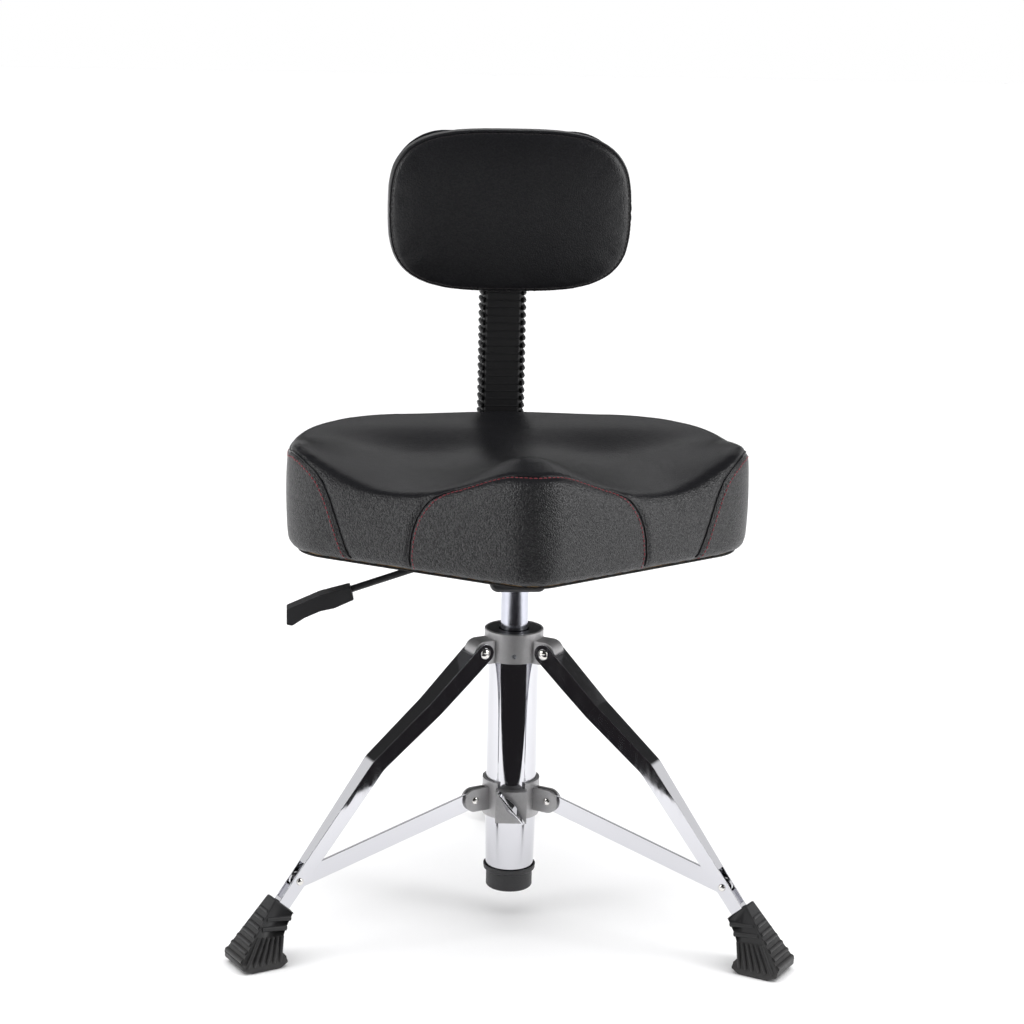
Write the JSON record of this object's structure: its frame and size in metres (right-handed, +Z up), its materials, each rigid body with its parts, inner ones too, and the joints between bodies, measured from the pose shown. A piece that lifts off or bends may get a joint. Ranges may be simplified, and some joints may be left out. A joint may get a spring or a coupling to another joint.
{
  "type": "drum throne",
  "caption": "Drummer's seat: saddle-shaped cushion with backrest on a gas lift, over a folding double-jointed chrome tripod with rubber feet.",
  "frame": {"origin": "on the floor, on the axis of the column", "axes": "+Z up along the column, the seat's nose towards -Y, the height lever towards -X"},
  "size_m": [0.571, 0.5159, 0.804],
  "materials": {
    "chrome": "polished chrome plate on pressed steel",
    "cast_aluminium": "matte silver die-cast, fine grain",
    "bright_steel": "bright nickel-plated rivet",
    "zinc_steel": "zinc-plated steel",
    "cylinder_chrome": "hard-chromed gas cylinder, satin",
    "dark_plastic": "matte black moulding",
    "gloss_plastic": "black moulding, fine spark-eroded texture",
    "black_paint": "satin black powder coat",
    "valve_red": "red plastic button",
    "piston_alloy": "turned aluminium",
    "foot_rubber": "matte black ribbed rubber",
    "bellows_rubber": "satin black accordion rubber",
    "plywood": "bare plywood",
    "seat_leather": "black pebble-grain synthetic leather, dark red stitching",
    "dust_cloth": "black non-woven cloth"
  },
  "bodies": {
    "column": {"column_tube": "chrome", "top_collar": "cast_aluminium", "collar_set_screws": "zinc_steel", "leg_rivets": "bright_steel", "guide_bush": "dark_plastic", "base_plug": "zinc_steel", "thrust_bearing": "zinc_steel", "bottom_cap": "dark_plastic"},
    "rod": {"piston_rod": "zinc_steel", "piston": "piston_alloy", "rod_clip": "zinc_steel", "bump_ring": "foot_rubber"},
    "lift": {"gas_cylinder": "cylinder_chrome", "cylinder_gland": "dark_plastic", "taper_socket": "zinc_steel", "mech_housing": "black_paint", "lever_pin": "zinc_steel", "mech_plate": "black_paint", "bar_guide": "black_paint", "seat_base": "plywood", "t_nuts": "zinc_steel", "mech_bolts": "zinc_steel", "seat_cushion": "seat_leather", "seat_dust_cover": "dust_cloth"},
    "lever": {"lever_rod": "black_paint", "lever_handle": "gloss_plastic"},
    "valve": {"valve_button": "valve_red"},
    "back_bar": {"back_bar": "black_paint", "bar_bellows": "bellows_rubber"},
    "bar_knob": {"bar_knob": "gloss_plastic"},
    "back_pad": {"back_bracket": "black_paint", "back_panel": "gloss_plastic", "back_cushion": "seat_leather", "back_screws": "zinc_steel"},
    "height_knob": {"height_knob": "gloss_plastic"},
    "clamp": {"brace_clamp": "cast_aluminium", "brace_inner_rivets": "bright_steel"},
    "wing_screw": {"wing_screw": "chrome"},
    "leg_1": {"leg_1": "chrome", "leg_stub_rivets_1": "bright_steel", "foot_1": "foot_rubber"},
    "brace_1": {"brace_1": "chrome"},
    "leg_2": {"leg_2": "chrome", "leg_stub_rivets_2": "bright_steel", "foot_2": "foot_rubber"},
    "brace_2": {"brace_2": "chrome"},
    "leg_3": {"leg_3": "chrome", "leg_stub_rivets_3": "bright_steel", "foot_3": "foot_rubber"},
    "brace_3": {"brace_3": "chrome"}
  },
  "joints": [
    {"name": "seat_swivel", "type": "hinge", "parent": "column", "child": "rod", "pos_m": [0, 0, 0.066], "axis": [0, 0, 1], "continuous": true},
    {"name": "height_lift", "type": "slide", "parent": "rod", "child": "lift", "axis": [0, 0, 1], "range_m": [-0.035, 0.085]},
    {"name": "lever_lift", "type": "hinge", "parent": "lift", "child": "lever", "pos_m": [-0.022, 0, 0.3885], "axis": [0, 1, 0], "range_deg": [0, 8], "stiffness_Nm_per_rad": 2, "springref_deg": -11.46},
    {"name": "valve_press", "type": "slide", "parent": "lift", "child": "valve", "axis": [0, 0, -1], "range_m": [0, 0.003]},
    {"name": "back_depth", "type": "slide", "parent": "lift", "child": "back_bar", "axis": [0, 1, 0], "range_m": [0, 0.035]},
    {"name": "bar_knob_turn", "type": "hinge", "parent": "lift", "child": "bar_knob", "pos_m": [0, 0.096, 0.384], "axis": [0, 0, -1], "continuous": true},
    {"name": "back_height", "type": "slide", "parent": "back_bar", "child": "back_pad", "axis": [0, 0, 1], "range_m": [-0.02, 0.05], "deforming": ["bar_bellows"]},
    {"name": "height_knob_turn", "type": "hinge", "parent": "back_pad", "child": "height_knob", "pos_m": [0, 0.216, 0.69], "axis": [0, 1, 0], "continuous": true},
    {"name": "leg_1_fold", "type": "hinge", "parent": "column", "child": "leg_1", "pos_m": [0.00304, 0.04039, 0.29], "axis": [-0.9972, 0.075, 0], "range_deg": [0, 20]},
    {"name": "leg_2_fold", "type": "hinge", "parent": "column", "child": "leg_2", "pos_m": [-0.03649, -0.01756, 0.29], "axis": [0.4337, -0.9011, 0], "range_deg": [0, 20]},
    {"name": "leg_3_fold", "type": "hinge", "parent": "column", "child": "leg_3", "pos_m": [0.03346, -0.02282, 0.29], "axis": [0.5635, 0.8261, 0], "range_deg": [0, 20]},
    {"name": "clamp_slide", "type": "slide", "parent": "column", "child": "clamp", "axis": [0, 0, 1], "range_m": [0, 0.06231]},
    {"name": "wing_screw_turn", "type": "hinge", "parent": "clamp", "child": "wing_screw", "pos_m": [-0.00274, -0.0364, 0.129], "axis": [-0.075, -0.9972, 0], "continuous": true},
    {"name": "brace_1_swing", "type": "hinge", "parent": "clamp", "child": "brace_1", "pos_m": [0.00337, 0.04487, 0.1315], "axis": [-0.9972, 0.075, 0], "range_deg": [0, 41.4]},
    {"name": "brace_2_swing", "type": "hinge", "parent": "clamp", "child": "brace_2", "pos_m": [-0.04055, -0.01952, 0.1315], "axis": [0.4337, -0.9011, 0], "range_deg": [0, 41.4]},
    {"name": "brace_3_swing", "type": "hinge", "parent": "clamp", "child": "brace_3", "pos_m": [0.03717, -0.02536, 0.1315], "axis": [0.5635, 0.8261, 0], "range_deg": [0, 41.4]}
  ],
  "couplings": [
    {"joint": "valve_press", "follows": "lever_lift", "m_per_rad": 0.0214},
    {"joint": "leg_2_fold", "follows": "leg_1_fold", "ratio": 1},
    {"joint": "leg_3_fold", "follows": "leg_1_fold", "ratio": 1},
    {"joint": "clamp_slide", "follows": "leg_1_fold", "m_per_rad": 0.17851},
    {"joint": "brace_1_swing", "follows": "leg_1_fold", "ratio": 2.0701},
    {"joint": "brace_2_swing", "follows": "leg_1_fold", "ratio": 2.0701},
    {"joint": "brace_3_swing", "follows": "leg_1_fold", "ratio": 2.0701}
  ]
}
